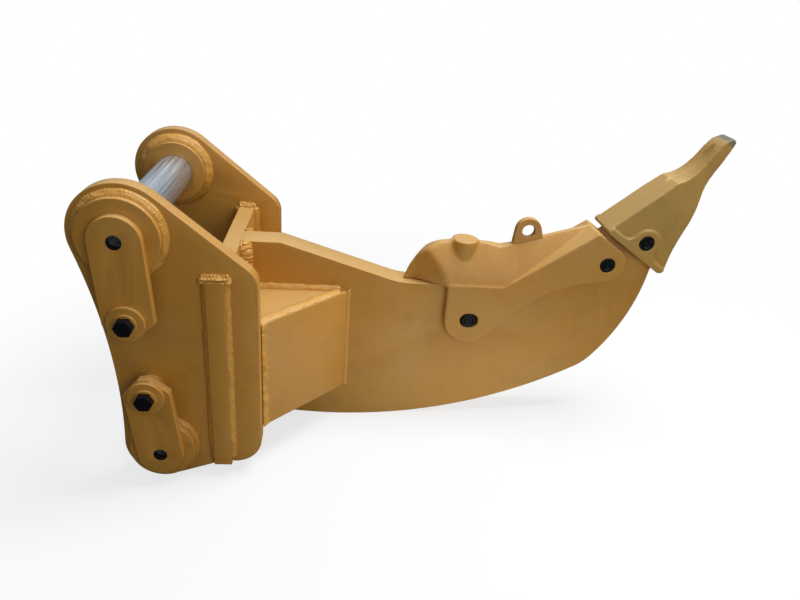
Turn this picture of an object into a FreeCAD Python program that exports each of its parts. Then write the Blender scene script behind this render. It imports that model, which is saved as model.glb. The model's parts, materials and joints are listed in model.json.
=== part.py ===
import FreeCAD, Part
import math
import os

# Single-shank ripper for an excavator: a two-ear hanger, a curved shank, a cast
# shank protector and a cast ripper tooth. Millimetres.
# The outlines are drawn with the origin at the upper pin's centre, X towards the
# tooth, Y across and Z along the rear edges of the side plates. At the end every
# piece is turned about that pin so that the ripper stands level on the ground.

# Pins and ears
pinR = 45.0
pinRunningGap = 0.3
pinStickOut = 8.0
pinChamfer = 4.0
lowerPinX = 47.2
lowerPinZ = -513.2

# Side plates
plateThick = 35.0
overPlates = 520.0
upperEarR = 107.0
lowerEarR = 90.0
waistR = 1300.0
topSlopeDeg = 39.5
topCornerR = 55.0
plateRearX = 269.0
bottomCornerR = 62.0
bottomSlopeDeg = 19.0
bottomFlatZ = -563.0

# Ear bosses and their fillet welds
upperBossR = 84.4
upperInnerBossR = 77.7
lowerBossR = 73.0
outerBossHigh = 24.5
innerBossHigh = 27.5
bossEdgeChamfer = 1.5
outerBossWeldLeg = 13.5
innerBossWeldLeg = 18.0
lowerBossWeldLeg = 9.5

# Pin flags and keepers
flagThick = 19.0
upperFlagHalfWide = 53.5
lowerFlagHalfWide = 50.5
flagEndHalfWide = 10.0
upperKeeperX = 7.0
upperKeeperZ = -174.8
lowerKeeperX = 30.2
lowerKeeperZ = -355.8
upperFlagLean = 2.4
flagEndReach = 42.5
flagChamferLong = 37.5
flagEdgeRound = 2.0
pullHoleR = 15.3
pullHoleDeep = 70.0
keeperBossR = 30.0
keeperDiscR = 39.4
keeperDiscThick = 10.0
keeperWasherR = 24.5
keeperWasherThick = 4.5
keeperBoltR = 12.0
keeperBoltGap = 0.4
keeperHeadAcrossFlats = 36.0
keeperHeadHigh = 15.0
keeperHeadBevel = 2.5
keeperBoltGrip = 52.0

# Cross plate through both side plates
crossRearX = 201.0
crossThick = 40.0
crossTopZ = -91.0
crossBottomZ = -562.0
crossStickOut = 15.0
crossSlotGap = 0.5
crossOuterWeldLeg = 13.0
crossInnerWeldLeg = 13.0
crossTopWeldLeg = 11.0
crossWeldEndGap = 12.0

# Shank
shankThick = 70.0
shankTopZ = -90.5
shankKinkX = 294.3
shankSlopeDeg = 17.5
shankSeatZ = -183.5
shankDipR = 200.0
bellyR = 1230.0
bellyLowX = 450.0
bellyLowZ = -578.0
leadingR = 490.0
leadingEndDeg = -5.6
kneeR = 140.0
shankWeldLegX = 33.0
shankWeldLegY = 29.0
shankWeldStickUp = 4.0
shankWeldEndGap = 6.0

# Gusset boxes between the side plates and the shank
gussetThick = 20.0
gussetDeg = 45.0
gussetPastPlate = 5.5
gussetTopZ = -210.0
gussetBottomZ = -482.0
capAboveGusset = 3.0
capThick = 20.0
capNotch = 36.0
capWeldLeg = 12.5
gussetWeldLeg = 17.0
gussetWeldProud = 3.5
gussetShankWeldLeg = 8.0
gussetWeldInset = 1.0

# Tooth frame: its pin centre, and the angle of its axis above X
toothPinX = 1181.8
toothPinZ = -43.0
toothDeg = 56.0
smallPinR = 18.6
smallPinGap = 0.4
smallPinChamfer = 2.0
retainerOuterR = 27.0
retainerThick = 9.0
retainerGap = 0.6

# Nose of the shank, in the tooth frame: along the axis, then across it
noseStart = -45.0
noseEnd = 95.0
noseBottomStart = -69.5
noseBottomEnd = -28.0
noseTopStart = 77.8
noseTopEnd = 46.0
noseEndR = 9.0
socketGap = 1.2
socketEndGap = 3.0

# Tooth casting, in the tooth frame
toothRear = -39.0
toothRearBottom = -95.0
toothRearTop = 100.0
toothHeelR = 14.0
toothCrownR = 6.0
toothBodyHalfWide = 51.0
toothPadHalfWide = 56.0
toothShoulder = 150.0
toothShoulderTop = 48.0
toothRimFront = -22.0
toothLugR = 34.0
toothLugBlendR = 25.0
toothTip = 305.0
toothTipHigh = 13.0
toothTipChamfer = 20.0
toothTipHalfWide = 30.0
toothTipCornerR = 10.0
toothGrooveStart = 128.0
toothGrooveStartUp = 60.0
toothGrooveEnd = 290.0
toothGrooveEndUp = 30.0
toothGrooveR = 24.0

# Shank protector casting
protectorHalfWide = 56.0
gableHalfWide = 54.5
gableFlankHalfWide = 34.5
gableFlankZ = -120.0
gableBrinkHalfWide = 5.0
gableBrinkZ = -72.0
protectorGap = 0.8
protectorSeatGap = 1.8
rearPinX = 767.5
rearPinZ = -272.0
rearEyeR = 63.0
rearHoleStretch = 9.5
frontPinX = 1095.6
frontPinZ = -104.9
frontEyeR = 47.5
cheekTopZ = -175.0
cheekRearLineDeg = 44.0
cheekFrontLineDeg = 6.0
cheekHollowR = 300.0
rampFootX = 847.0
rampDeg = 35.3
rampRoofDeg = 15.6
rampRoofSunk = 0.4
rampRoofInset = 3.0
protectorFrontEdge = -51.5
stemX = 597.0
stemMidX = 629.0
stemMidZ = -115.0
browX = 682.0
browZ = -77.5
crownX = 757.0
crownZ = -73.5
dipX = 834.0
dipZ = -84.0
crestRiseDeg = 16.8
crestInset = 6.0
toeLead = 3.0
toeHalfWide = 7.0
toeEndX = 624.0
prowEndHalfWide = 54.5
stubX = 743.0
stubR = 34.0
stubTopZ = -70.0
stubChamfer = 3.0
protectorEdgeRound = 4.0

# Lifting eye on the protector
eyeThick = 18.0
eyeX = 898.0
eyeZ = -42.0
eyeHoleR = 16.0
eyeOuterR = 32.5
eyeFootRearX = 861.0
eyeFootFrontX = 945.0
eyeFootZ = -85.0

across = FreeCAD.Vector(0, 1, 0)
origin = FreeCAD.Vector(0, 0, 0)
plateOutY = overPlates / 2
plateInY = plateOutY - plateThick
bossOutY = plateOutY + outerBossHigh
bossInY = plateInY - innerBossHigh
shankY = shankThick / 2
crossFrontX = crossRearX - crossThick
lowerPin = FreeCAD.Vector(lowerPinX, 0, lowerPinZ)
upperKeeper = FreeCAD.Vector(upperKeeperX, 0, upperKeeperZ)
lowerKeeper = FreeCAD.Vector(lowerKeeperX, 0, lowerKeeperZ)
toothPin = FreeCAD.Vector(toothPinX, 0, toothPinZ)
rearPin = FreeCAD.Vector(rearPinX, 0, rearPinZ)
frontPin = FreeCAD.Vector(frontPinX, 0, frontPinZ)
bellyCentre = FreeCAD.Vector(bellyLowX, 0, bellyLowZ + bellyR)


def at(x, z, y=0.0):
    return FreeCAD.Vector(x, y, z)


def heading(degrees):
    turn = math.radians(degrees)
    return at(math.cos(turn), math.sin(turn))


def leftOf(direction):
    return at(-direction.z, direction.x)


def inTooth(along, up):
    axis = heading(toothDeg)
    return toothPin + axis * along + leftOf(axis) * up


def crossing(pointA, directionA, pointB, directionB):
    # where two straight lines of the XZ plane meet
    gap = pointB - pointA
    span = directionA.x * directionB.z - directionA.z * directionB.x
    along = (gap.x * directionB.z - gap.z * directionB.x) / span
    return pointA + directionA * along


def rounded(before, point, after, radius):
    # the arc that rounds a corner: its start, a point on it and its end
    back = (before - point).normalize()
    ahead = (after - point).normalize()
    half = back.getAngle(ahead) / 2
    reach = radius / math.tan(half)
    middle = (back + ahead).normalize() * (radius / math.sin(half) - radius)
    return point + back * reach, point + middle, point + ahead * reach


def onCircle(centre, radius, towards):
    return centre + (towards - centre).normalize() * radius


def arcBetween(centre, radius, start, end):
    # the short arc of a circle from start to end, given by a point halfway
    return onCircle(centre, radius, (start + end) * 0.5)


def circleCentre(centreA, reachA, centreB, reachB, side):
    # the point at two given distances from two centres, on one side of their line
    gap = centreB - centreA
    span = gap.Length
    along = (span ** 2 + reachA ** 2 - reachB ** 2) / (2 * span)
    up = math.sqrt(reachA ** 2 - along ** 2)
    unit = gap * (1 / span)
    return centreA + unit * along + leftOf(unit) * (up * side)


def outline(start, steps):
    # a closed face from straight steps (end,) and arc steps (middle, end)
    edges = []
    here = start
    for step in steps + [(start,)]:
        end = step[-1]
        if (end - here).Length > 1e-6:
            if len(step) == 1:
                edges.append(Part.LineSegment(here, end).toShape())
            else:
                edges.append(Part.Arc(here, step[0], end).toShape())
        here = end
    return Part.Face(Part.Wire(edges))


def slab(face, fromY, toY):
    moved = face.translated(at(0, 0, fromY))
    return moved.extrude(at(0, 0, toY - fromY))


def rod(centre, radius, fromY, toY):
    return Part.makeCylinder(radius, toY - fromY, at(centre.x, centre.z, fromY), across)


def block(fromX, toX, fromY, toY, fromZ, toZ):
    corner = at(fromX, fromZ, fromY)
    return Part.makeBox(toX - fromX, toY - fromY, toZ - fromZ, corner)


def turned(profile, centre):
    # a ring turned about a pin's axis from a list of (radius, y) corners
    points = [at(centre.x + radius, centre.z, y) for radius, y in profile]
    face = Part.Face(Part.makePolygon(points + [points[0]]))
    return face.revolve(centre, across, 360)


def planPrism(points, fromZ, toZ):
    # an upright prism from a list of (x, y) corners
    corners = [at(x, fromZ, y) for x, y in points]
    face = Part.Face(Part.makePolygon(corners + [corners[0]]))
    return face.extrude(at(0, toZ - fromZ))


def mirrored(point):
    return at(point.x, point.z, -point.y)


def splineThrough(points):
    curve = Part.BSplineCurve()
    curve.interpolate(points)
    return curve


def leftSide(shape):
    return shape.mirror(origin, across)


def group(shapes):
    return Part.makeCompound(shapes)


def restTurnDeg():
    # the ground touches the lower ears and the belly of the shank
    gap = bellyCentre - lowerPin
    lift = math.degrees(math.asin((lowerEarR - bellyR) / gap.Length))
    return lift + math.degrees(math.atan2(gap.z, gap.x))


def sidePlateFace():
    slope = heading(-topSlopeDeg)
    slopeStart = leftOf(slope) * upperEarR
    topCorner = crossing(slopeStart, slope, at(plateRearX, 0), at(0, 1))
    topIn, topMid, topOut = rounded(slopeStart, topCorner, at(plateRearX, bottomFlatZ), topCornerR)
    rearCorner = at(plateRearX, bottomFlatZ)
    bottomLine = heading(bottomSlopeDeg)
    bottomEnd = lowerPin - leftOf(bottomLine) * lowerEarR
    flatEnd = crossing(bottomEnd, bottomLine, rearCorner, at(1, 0))
    rearIn, rearMid, rearOut = rounded(topCorner, rearCorner, flatEnd, bottomCornerR)
    waist = circleCentre(origin, waistR + upperEarR, lowerPin, waistR + lowerEarR, -1)
    waistTop = onCircle(origin, upperEarR, waist)
    waistBottom = onCircle(lowerPin, lowerEarR, waist)
    lowerMid = onCircle(lowerPin, lowerEarR, lowerPin + at(-1, -1))
    upperMid = onCircle(origin, upperEarR, at(-1, 1))
    return outline(slopeStart, [
        (topIn,), (topMid, topOut), (rearIn,), (rearMid, rearOut), (flatEnd,), (bottomEnd,),
        (lowerMid, waistBottom), (arcBetween(waist, waistR, waistBottom, waistTop), waistTop),
        (upperMid, slopeStart)])


def sidePlate():
    plate = slab(sidePlateFace(), -plateOutY, -plateInY)
    slot = block(crossFrontX - crossSlotGap, crossRearX + crossSlotGap, -plateOutY, -plateInY,
                 bottomFlatZ - lowerEarR, crossTopZ + crossSlotGap)
    bores = [rod(centre, pinR + pinRunningGap, -plateOutY, -plateInY) for centre in (origin, lowerPin)]
    return plate.cut([slot] + bores)


def earBoss(centre, radius, plateY, faceY):
    inner = pinR + pinRunningGap
    edge = math.copysign(bossEdgeChamfer, faceY - plateY)
    return turned([(inner, plateY), (radius, plateY), (radius, faceY - edge),
                   (radius - bossEdgeChamfer, faceY), (inner, faceY)], centre)


def bossWeld(centre, radius, plateY, leg, direction):
    return turned([(radius, plateY), (radius + leg, plateY), (radius, plateY + leg * direction)], centre)


def bossWelds(centre, outerR, innerR, outerLeg, innerLeg):
    right = [bossWeld(centre, outerR, -plateOutY, outerLeg, -1),
             bossWeld(centre, innerR, -plateInY, innerLeg, 1)]
    return group(right + [leftSide(ring) for ring in right])


def earPin(centre):
    pin = rod(centre, pinR, -bossOutY, bossOutY + pinStickOut)
    ends = [edge for edge in pin.Edges if edge.CenterOfMass.y > bossOutY and edge.isClosed()]
    pullHole = rod(centre, pullHoleR, -bossOutY, -bossOutY + pullHoleDeep)
    return pin.makeChamfer(pinChamfer, ends).cut(pullHole)


def pinFlag(centre, keeper, lean, halfWide):
    # round about the pin, straight past the keeper, with long chamfers at the end
    reach = keeper + at(lean, 0) - centre
    axis = reach * (1 / reach.Length)
    side = leftOf(axis)
    endAlong = reach.Length + flagEndReach
    chamferStart = endAlong - flagChamferLong

    def local(along, offset):
        return centre + axis * along + side * offset

    face = outline(local(0, halfWide), [
        (local(-halfWide, 0), local(0, -halfWide)), (local(chamferStart, -halfWide),),
        (local(endAlong, -flagEndHalfWide),), (local(endAlong, flagEndHalfWide),),
        (local(chamferStart, halfWide),)])
    plate = slab(face, -bossOutY - flagThick, -bossOutY)
    rim = [edge for edge in plate.Edges if abs(edge.CenterOfMass.y + bossOutY + flagThick) < 1e-3]
    holes = [rod(centre, pullHoleR, -bossOutY - flagThick, -bossOutY),
             rod(keeper, keeperBoltR + keeperBoltGap, -bossOutY - flagThick, -bossOutY)]
    return plate.makeFillet(flagEdgeRound, rim).cut(holes)


def keeperStack():
    # y of each face outwards from the flag: flag, disc, washer, bolt head
    flag = -bossOutY - flagThick
    disc = flag - keeperDiscThick
    washer = disc - keeperWasherThick
    return flag, disc, washer, washer - keeperHeadHigh


def keeperRing(keeper, outerR, fromY, toY):
    return turned([(keeperBoltR + keeperBoltGap, fromY), (outerR, fromY), (outerR, toY),
                   (keeperBoltR + keeperBoltGap, toY)], keeper)


def keeperBolt(keeper):
    underHead, headTop = keeperStack()[2:]
    cornerR = keeperHeadAcrossFlats / math.sqrt(3)
    corners = [keeper + heading(60 * turn) * cornerR for turn in range(6)]
    face = Part.Face(Part.makePolygon(corners + [corners[0]]))
    head = slab(face, headTop, underHead)
    bevelR = cornerR + keeperHeadBevel
    flatTopR = cornerR - 2 * keeperHeadBevel
    bevelled = turned([(0, underHead), (bevelR, underHead), (bevelR, headTop + 1.5 * keeperHeadBevel),
                       (flatTopR, headTop), (0, headTop)], keeper)
    return head.common(bevelled).fuse(rod(keeper, keeperBoltR, underHead, underHead + keeperBoltGrip))


def crossPlate():
    reach = plateOutY + crossStickOut
    return block(crossFrontX, crossRearX, -reach, reach, crossBottomZ, crossTopZ)


def crossOuterWeld():
    # a fillet round the end of the cross plate, open at the bottom of the slot
    def rectangle(y, grow):
        low = crossBottomZ - crossOuterWeldLeg * 2
        corners = [at(crossFrontX - grow, low, y), at(crossRearX + grow, low, y),
                   at(crossRearX + grow, crossTopZ + grow, y), at(crossFrontX - grow, crossTopZ + grow, y)]
        return Part.makePolygon(corners + [corners[0]])

    leg = crossOuterWeldLeg
    skirt = Part.makeLoft([rectangle(-plateOutY, leg), rectangle(-plateOutY - leg, 0)], True, True)
    below = block(0, plateRearX, -plateOutY - leg, -plateOutY, crossBottomZ - 3 * leg,
                  crossBottomZ + crossWeldEndGap)
    return skirt.cut([crossPlate(), below])


def crossInnerWelds():
    leg = crossInnerWeldLeg
    low = crossBottomZ + crossWeldEndGap
    front = planPrism([(crossFrontX, -plateInY), (crossFrontX - leg, -plateInY),
                       (crossFrontX, -plateInY + leg)], low, crossTopZ)
    rear = planPrism([(crossRearX, -plateInY), (crossRearX + leg, -plateInY),
                      (crossRearX, -plateInY + leg)], low, crossTopZ)
    top = Part.Face(Part.makePolygon([
        at(crossFrontX, crossTopZ, -plateInY), at(crossFrontX, crossTopZ, -plateInY + crossTopWeldLeg),
        at(crossFrontX, crossTopZ + crossTopWeldLeg, -plateInY), at(crossFrontX, crossTopZ, -plateInY)]))
    return [front, rear, top.extrude(at(crossThick, 0))]


def crossWelds():
    right = [crossOuterWeld()] + crossInnerWelds()
    return group(right + [leftSide(bead) for bead in right])


def noseOutline(gap, endGap):
    # the two sides of the nose wedge, from the open end of the tooth to its tip
    bottom = (inTooth(noseStart, noseBottomStart), inTooth(noseEnd, noseBottomEnd))
    top = (inTooth(noseStart, noseTopStart), inTooth(noseEnd, noseTopEnd))
    axis = heading(toothDeg)
    down = leftOf((bottom[1] - bottom[0]).normalize()) * -gap
    up = leftOf((top[1] - top[0]).normalize()) * gap
    end = inTooth(noseEnd + endGap, 0)
    ends = [crossing(side[0] + shift, side[1] - side[0], end, leftOf(axis))
            for side, shift in ((bottom, down), (top, up))]
    return bottom[0] + down, ends[0], ends[1], top[0] + up


def bellyZ(x):
    return bellyCentre.z - math.sqrt(bellyR ** 2 - (x - bellyCentre.x) ** 2)


def shankFace():
    noseLow, endLow, endHigh, noseHigh = noseOutline(0, 0)
    slope = heading(-shankSlopeDeg)
    kink = at(shankKinkX, shankTopZ)
    dip = crossing(kink, slope, at(0, shankSeatZ), at(1, 0))
    rise = crossing(noseHigh, heading(rampDeg), at(0, shankSeatZ), at(1, 0))
    dipIn, dipMid, dipOut = rounded(kink, dip, rise, shankDipR)
    lowIn, lowMid, lowOut = rounded(noseLow, endLow, endHigh, noseEndR)
    highIn, highMid, highOut = rounded(endLow, endHigh, noseHigh, noseEndR)
    leadingCentre = noseLow - heading(leadingEndDeg) * leadingR
    knee = circleCentre(bellyCentre, bellyR - kneeR, leadingCentre, leadingR - kneeR, 1)
    kneeIn = onCircle(bellyCentre, bellyR, knee)
    kneeOut = onCircle(leadingCentre, leadingR, knee)
    rearLow = at(crossRearX, bellyZ(crossRearX))
    return outline(at(crossRearX, shankTopZ), [
        (kink,), (dipIn,), (dipMid, dipOut), (rise,), (noseHigh,), (highOut,), (highMid, highIn),
        (lowOut,), (lowMid, lowIn), (noseLow,),
        (arcBetween(leadingCentre, leadingR, noseLow, kneeOut), kneeOut),
        (arcBetween(knee, kneeR, kneeOut, kneeIn), kneeIn),
        (arcBetween(bellyCentre, bellyR, kneeIn, rearLow), rearLow)])


def retainerPocket(pin, insideY):
    # a round pocket in a casting's inner face, on the left, for the pin's retainer
    return rod(pin, retainerOuterR + retainerGap, insideY, insideY + retainerThick + retainerGap)


def retainer(pin, insideY):
    holeR = smallPinR + smallPinGap / 2
    return turned([(holeR, insideY), (retainerOuterR, insideY), (retainerOuterR, insideY + retainerThick),
                   (holeR, insideY + retainerThick)], pin)


def smallPin(pin):
    body = rod(pin, smallPinR, -protectorHalfWide, protectorHalfWide)
    ends = [edge for edge in body.Edges if edge.isClosed() and edge.Curve.TypeId == "Part::GeomCircle"]
    return body.makeChamfer(smallPinChamfer, ends)


def shank():
    body = slab(shankFace(), -shankY, shankY)
    bores = [rod(pin, smallPinR + smallPinGap, -shankY, shankY) for pin in (rearPin, frontPin, toothPin)]
    return body.cut(bores)


def shankWelds():
    low = bellyZ(crossRearX + shankWeldLegX)
    stack = planPrism([(crossRearX, -shankY), (crossRearX + shankWeldLegX, -shankY),
                       (crossRearX, -shankY - shankWeldLegY)],
                      low + shankWeldEndGap, shankTopZ + shankWeldStickUp)
    return group([stack, leftSide(stack)])


def gussetLine(y, depth):
    # x of the slanted plate's outer face, or of a face set back into the box
    lean = math.tan(math.radians(gussetDeg))
    back = depth / math.sin(math.radians(gussetDeg))
    return plateRearX + gussetPastPlate + (y + plateInY) * lean - back


def gussetPlate():
    return planPrism([
        (gussetLine(-plateInY, gussetThick), -plateInY), (gussetLine(-plateInY, 0), -plateInY),
        (gussetLine(-shankY, 0), -shankY), (gussetLine(-shankY, gussetThick), -shankY)],
        gussetBottomZ, gussetTopZ)


def gussetCap(fromZ):
    weld = crossInnerWeldLeg + 1
    return planPrism([
        (crossRearX + weld, -plateInY), (gussetLine(-plateInY, gussetThick), -plateInY),
        (gussetLine(-shankY, gussetThick), -shankY), (crossRearX + capNotch, -shankY),
        (crossRearX, -shankY - capNotch), (crossRearX, -plateInY + weld)],
        fromZ, fromZ + capThick)


def gussetWelds():
    capTop = gussetTopZ + capAboveGusset
    capLow = gussetBottomZ - capAboveGusset
    innerRear = gussetLine(-plateInY, gussetThick)
    innerFront = gussetLine(-shankY, gussetThick)
    slant = planPrism([
        (innerRear, -plateInY), (gussetLine(-plateInY, gussetWeldInset), -plateInY),
        (gussetLine(-shankY, gussetWeldInset), -shankY), (innerFront, -shankY)],
        gussetTopZ, capTop + gussetWeldProud)
    root = at(crossRearX + capNotch, capTop, -shankY)
    shankSide = Part.Face(Part.makePolygon([
        root, root - across * capWeldLeg, root + at(0, capWeldLeg), root]))
    shankRun = shankSide.extrude(at(innerFront - root.x, 0)).cut(slant)
    plateEdge = planPrism([
        (plateRearX, -plateInY), (plateRearX, -plateInY - gussetWeldLeg / 2),
        (gussetLine(-plateInY + gussetWeldLeg, 0), -plateInY + gussetWeldLeg),
        (gussetLine(-plateInY, 0), -plateInY)], capLow, capTop)
    nose = gussetLine(-shankY, 0)
    leg = gussetShankWeldLeg
    shankEdge = planPrism([
        (nose, -shankY), (nose - leg, -shankY - leg), (nose + leg, -shankY)], capLow, capTop)
    right = [slant, shankRun, plateEdge, shankEdge]
    return group(right + [leftSide(bead) for bead in right])


def protectorRamp():
    # the inclined front plane and where it meets the front edge
    foot = at(rampFootX, cheekTopZ)
    front = crossing(foot, heading(rampDeg), inTooth(protectorFrontEdge, 0), leftOf(heading(toothDeg)))
    return foot, front


def protectorCheeks():
    foot, front = protectorRamp()
    rearLine = heading(cheekRearLineDeg)
    frontLine = heading(cheekFrontLineDeg)
    rearLow = rearPin - leftOf(rearLine) * rearEyeR
    frontLow = frontPin - leftOf(frontLine) * frontEyeR
    hollow = crossing(rearLow, rearLine, frontLow, frontLine)
    hollowIn, hollowMid, hollowOut = rounded(rearLow, hollow, frontLow, cheekHollowR)
    rearSide = rearPin + at(-rearEyeR, 0)
    frontOut = frontPin + heading(toothDeg) * frontEyeR
    face = outline(at(rearSide.x, cheekTopZ), [
        (rearSide,), (onCircle(rearPin, rearEyeR, rearPin + at(-0.4, -1)), rearLow), (hollowIn,),
        (hollowMid, hollowOut), (frontLow,),
        (onCircle(frontPin, frontEyeR, frontPin + at(1, -0.4)), frontOut), (front,), (foot,)])
    solid = slab(face, -protectorHalfWide, protectorHalfWide)
    rims = [edge for edge in solid.Edges if abs(abs(edge.CenterOfMass.y) - protectorHalfWide) < 1e-3]
    return solid.makeFillet(protectorEdgeRound, rims)


def protectorRoof():
    # above the ramp two low planes fall from the middle to the rims
    foot, front = protectorRamp()
    halfWide = protectorHalfWide - rampRoofInset
    low = foot - at(0, rampRoofSunk)
    peak = low + at(0, halfWide * math.tan(math.radians(rampRoofDeg)))
    deep = low - at(0, protectorHalfWide / 2)
    corners = [low + across * -halfWide, peak, low + across * halfWide,
               deep + across * halfWide, deep + across * -halfWide]
    section = Part.Face(Part.makePolygon(corners + [corners[0]]))
    roof = section.extrude((front - foot) * 2)
    beyond = slab(outline(inTooth(protectorFrontEdge, -toothTip), [
        (inTooth(protectorFrontEdge, toothTip),), (inTooth(toothTip, toothTip),),
        (inTooth(toothTip, -toothTip),)]), -protectorHalfWide, protectorHalfWide)
    return roof.cut(beyond)


def gableSection():
    # across the upper body: rounded flanks up to a narrow flat crest
    low = at(0, shankSeatZ + protectorSeatGap, gableHalfWide)
    flank = at(0, gableFlankZ, gableFlankHalfWide)
    brink = at(0, gableBrinkZ, gableBrinkHalfWide)
    side = Part.Arc(low, flank, brink).toShape()
    edges = [side, leftSide(side)]
    for corner in (low, brink):
        edges.append(Part.LineSegment(corner, mirrored(corner)).toShape())
    return Part.Face(Part.Wire(Part.__sortEdges__(edges)))


def protectorCrest():
    # the upper body behind: side profile, plan and cross-section, each drawn through
    seat = at(stemX, shankSeatZ + protectorSeatGap)
    dip = at(dipX, dipZ)
    axis = heading(toothDeg)
    frontEdge = inTooth(protectorFrontEdge - crestInset, 0)
    crestEnd = crossing(dip, heading(crestRiseDeg), frontEdge, leftOf(axis))
    profile = outline(seat, [
        (at(stemMidX, stemMidZ), at(browX, browZ)), (at(crownX, crownZ), dip), (crestEnd,),
        (at(crestEnd.x, frontPinZ),), (at(rampFootX, seat.z),)])
    side = slab(profile, -protectorHalfWide, protectorHalfWide)
    prowRear = rearPinX - rearEyeR
    toeRoundX = stemX - toeLead + toeHalfWide
    toe = Part.Arc(at(toeRoundX, 0, -toeHalfWide), at(stemX - toeLead, 0), at(toeRoundX, 0, toeHalfWide))
    flanks = Part.makePolygon([
        at(toeRoundX, 0, toeHalfWide), at(toeEndX, 0, toeHalfWide), at(prowRear, 0, prowEndHalfWide),
        at(frontPinX, 0, prowEndHalfWide), at(frontPinX, 0, -prowEndHalfWide),
        at(prowRear, 0, -prowEndHalfWide), at(toeEndX, 0, -toeHalfWide), at(toeRoundX, 0, -toeHalfWide)])
    plan = Part.Face(Part.Wire([toe.toShape(), flanks]))
    planBody = plan.translated(at(0, seat.z)).extrude(at(0, -seat.z))
    through = gableSection().extrude(at(frontPinX, 0))
    # in front of the dip the same cross-section climbs with the crest
    climb = heading(crestRiseDeg)
    climbStart = crossing(dip, climb, at(0, gableBrinkZ), at(1, 0))
    front = gableSection().translated(at(climbStart.x, 0))
    climbing = front.extrude(climb * ((crestEnd.x - climbStart.x) / climb.x))
    return [side.common(planBody).common(through), climbing]


def protector():
    stub = Part.makeCylinder(stubR, stubTopZ - cheekTopZ, at(stubX, cheekTopZ), at(0, 1))
    topEdge = [edge for edge in stub.Edges if abs(edge.CenterOfMass.z - stubTopZ) < 1e-3]
    body = protectorCheeks().fuse(
        protectorCrest() + [protectorRoof(), stub.makeChamfer(stubChamfer, topEdge)])
    insideY = shankY + protectorGap
    noseHigh = noseOutline(0, 0)[3]
    lift = leftOf(heading(rampDeg)) * protectorSeatGap
    seatZ = shankSeatZ + protectorSeatGap
    rise = crossing(noseHigh + lift, heading(rampDeg), at(0, seatZ), at(1, 0))
    beyond = noseHigh + lift + heading(rampDeg) * shankThick
    below = rearPinZ - 2 * rearEyeR
    behind = stemX - shankThick
    channel = outline(at(behind, seatZ), [(rise,), (beyond,), (at(beyond.x, below),), (at(behind, below),)])
    stretch = at(rearHoleStretch / 2, 0)
    holeR = smallPinR + smallPinGap
    rearHole = [rod(rearPin + shift, holeR, -protectorHalfWide, protectorHalfWide)
                for shift in (stretch, stretch * -1)]
    rearHole.append(block(rearPinX - stretch.x, rearPinX + stretch.x, -protectorHalfWide,
                          protectorHalfWide, rearPinZ - holeR, rearPinZ + holeR))
    frontHole = rod(frontPin, holeR, -protectorHalfWide, protectorHalfWide)
    pockets = [retainerPocket(pin, insideY) for pin in (rearPin, frontPin)]
    return body.cut([slab(channel, -insideY, insideY), frontHole] + rearHole + pockets)


def liftingEye():
    centre = at(eyeX, eyeZ)
    left = at(eyeFootRearX, eyeFootZ)
    right = at(eyeFootFrontX, eyeFootZ)

    def tangent(foot, side):
        # where a straight leg from the foot touches the round top
        gap = foot - centre
        lean = math.acos(eyeOuterR / gap.Length) * side
        base = math.atan2(gap.z, gap.x) + lean
        return centre + at(math.cos(base), math.sin(base)) * eyeOuterR

    face = outline(left, [
        (right,), (tangent(right, 1),), (centre + at(0, eyeOuterR), tangent(left, -1))])
    plate = slab(face, -eyeThick / 2, eyeThick / 2)
    return plate.cut([rod(centre, eyeHoleR, -eyeThick / 2, eyeThick / 2), protector()])


def toothSideFace():
    # side view of the tooth in its own frame: heel, sole, tip, blade, shoulder, crown
    soleStart = inTooth(-14, -87)
    tipLow = inTooth(toothTip - 4, 0)
    tipHigh = inTooth(toothTip - 2, toothTipHigh)
    bladeEnd = inTooth(toothTip - toothTipChamfer, 23)
    sole = splineThrough([soleStart] + [inTooth(a, b) for a, b in (
        (20.5, -71), (74, -54.5), (134.5, -36.5), (160, -25), (183, -15.5), (234, -8),
        (272, -3.5))] + [tipLow])
    shoulder = inTooth(toothShoulder, toothShoulderTop)
    blade = splineThrough([bladeEnd] + [inTooth(a, b) for a, b in (
        (262, 25), (238, 24), (212, 24.5), (182, 29.5), (163, 38))] + [shoulder])
    tip = Part.Arc(tipLow, inTooth(toothTip, toothTipHigh / 2), tipHigh)
    crown = inTooth(toothRear, toothRearTop)
    heel = inTooth(toothRear, toothRearBottom)
    crownIn, crownMid, crownOut = rounded(shoulder, crown, heel, toothCrownR)
    heelIn, heelMid, heelOut = rounded(crown, heel, soleStart, toothHeelR)
    edges = [Part.LineSegment(shoulder, crownIn), Part.Arc(crownIn, crownMid, crownOut),
             Part.LineSegment(crownOut, heelIn), Part.Arc(heelIn, heelMid, heelOut),
             Part.LineSegment(heelOut, soleStart), sole, tip, Part.LineSegment(tipHigh, bladeEnd), blade]
    return Part.Face(Part.Wire([edge.toShape() for edge in edges]))


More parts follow.
